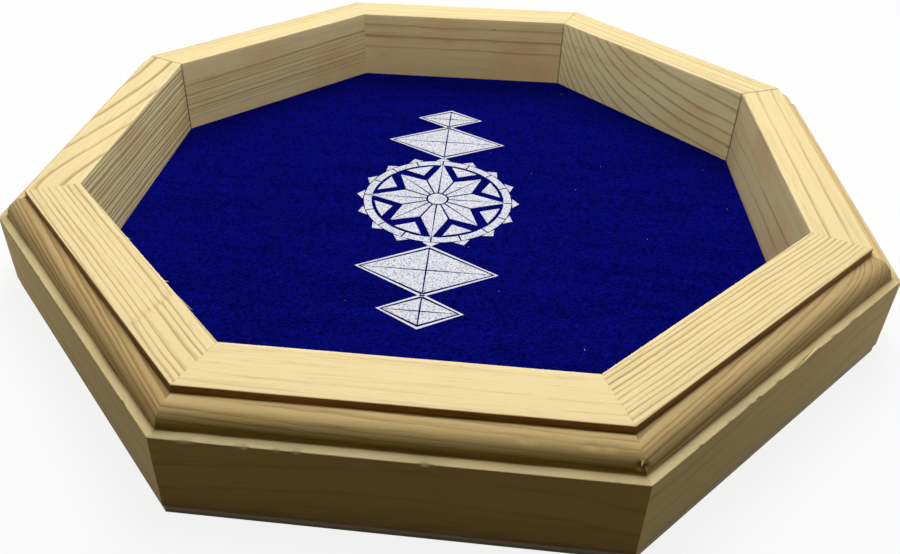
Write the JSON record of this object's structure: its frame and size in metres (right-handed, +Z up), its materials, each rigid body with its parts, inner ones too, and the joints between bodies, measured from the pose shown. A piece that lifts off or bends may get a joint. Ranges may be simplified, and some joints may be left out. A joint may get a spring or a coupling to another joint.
{
  "type": "wooden dice tray",
  "caption": "Octagonal open tray of mitred pine moulding on a thin base panel, with a felt floor and a printed emblem, for rolling dice.",
  "frame": {"origin": "middle of the underside, on the surface that the tray stands on", "axes": "+Z up through the open top, front rail faces -Y, right rail faces +X"},
  "size_m": [0.305, 0.305, 0.0394],
  "materials": {
    "pine": "pale sanded pine with visible annual rings, thin clear coat",
    "base_board": "raw fibreboard",
    "blue_felt": "matte royal blue felt",
    "white_ink": "white speckled transfer print",
    "nail_steel": "bright steel"
  },
  "bodies": {
    "root": {"rail_front": "pine", "rail_front_right": "pine", "rail_right": "pine", "rail_back_right": "pine", "rail_back": "pine", "rail_back_left": "pine", "rail_left": "pine", "rail_front_left": "pine", "base_panel": "base_board", "felt_lining": "blue_felt", "felt_print": "white_ink", "brad_front_a": "nail_steel", "brad_front_b": "nail_steel", "brad_front_right_a": "nail_steel", "brad_front_right_b": "nail_steel", "brad_right_a": "nail_steel", "brad_right_b": "nail_steel", "brad_back_right_a": "nail_steel", "brad_back_right_b": "nail_steel", "brad_back_a": "nail_steel", "brad_back_b": "nail_steel", "brad_back_left_a": "nail_steel", "brad_back_left_b": "nail_steel", "brad_left_a": "nail_steel", "brad_left_b": "nail_steel", "brad_front_left_a": "nail_steel", "brad_front_left_b": "nail_steel", "v_nail_front_inner": "nail_steel", "v_nail_front_outer": "nail_steel", "v_nail_front_right_inner": "nail_steel", "v_nail_front_right_outer": "nail_steel", "v_nail_right_inner": "nail_steel", "v_nail_right_outer": "nail_steel", "v_nail_back_right_inner": "nail_steel", "v_nail_back_right_outer": "nail_steel", "v_nail_back_inner": "nail_steel", "v_nail_back_outer": "nail_steel", "v_nail_back_left_inner": "nail_steel", "v_nail_back_left_outer": "nail_steel", "v_nail_left_inner": "nail_steel", "v_nail_left_outer": "nail_steel", "v_nail_front_left_inner": "nail_steel", "v_nail_front_left_outer": "nail_steel"}
  },
  "joints": []
}
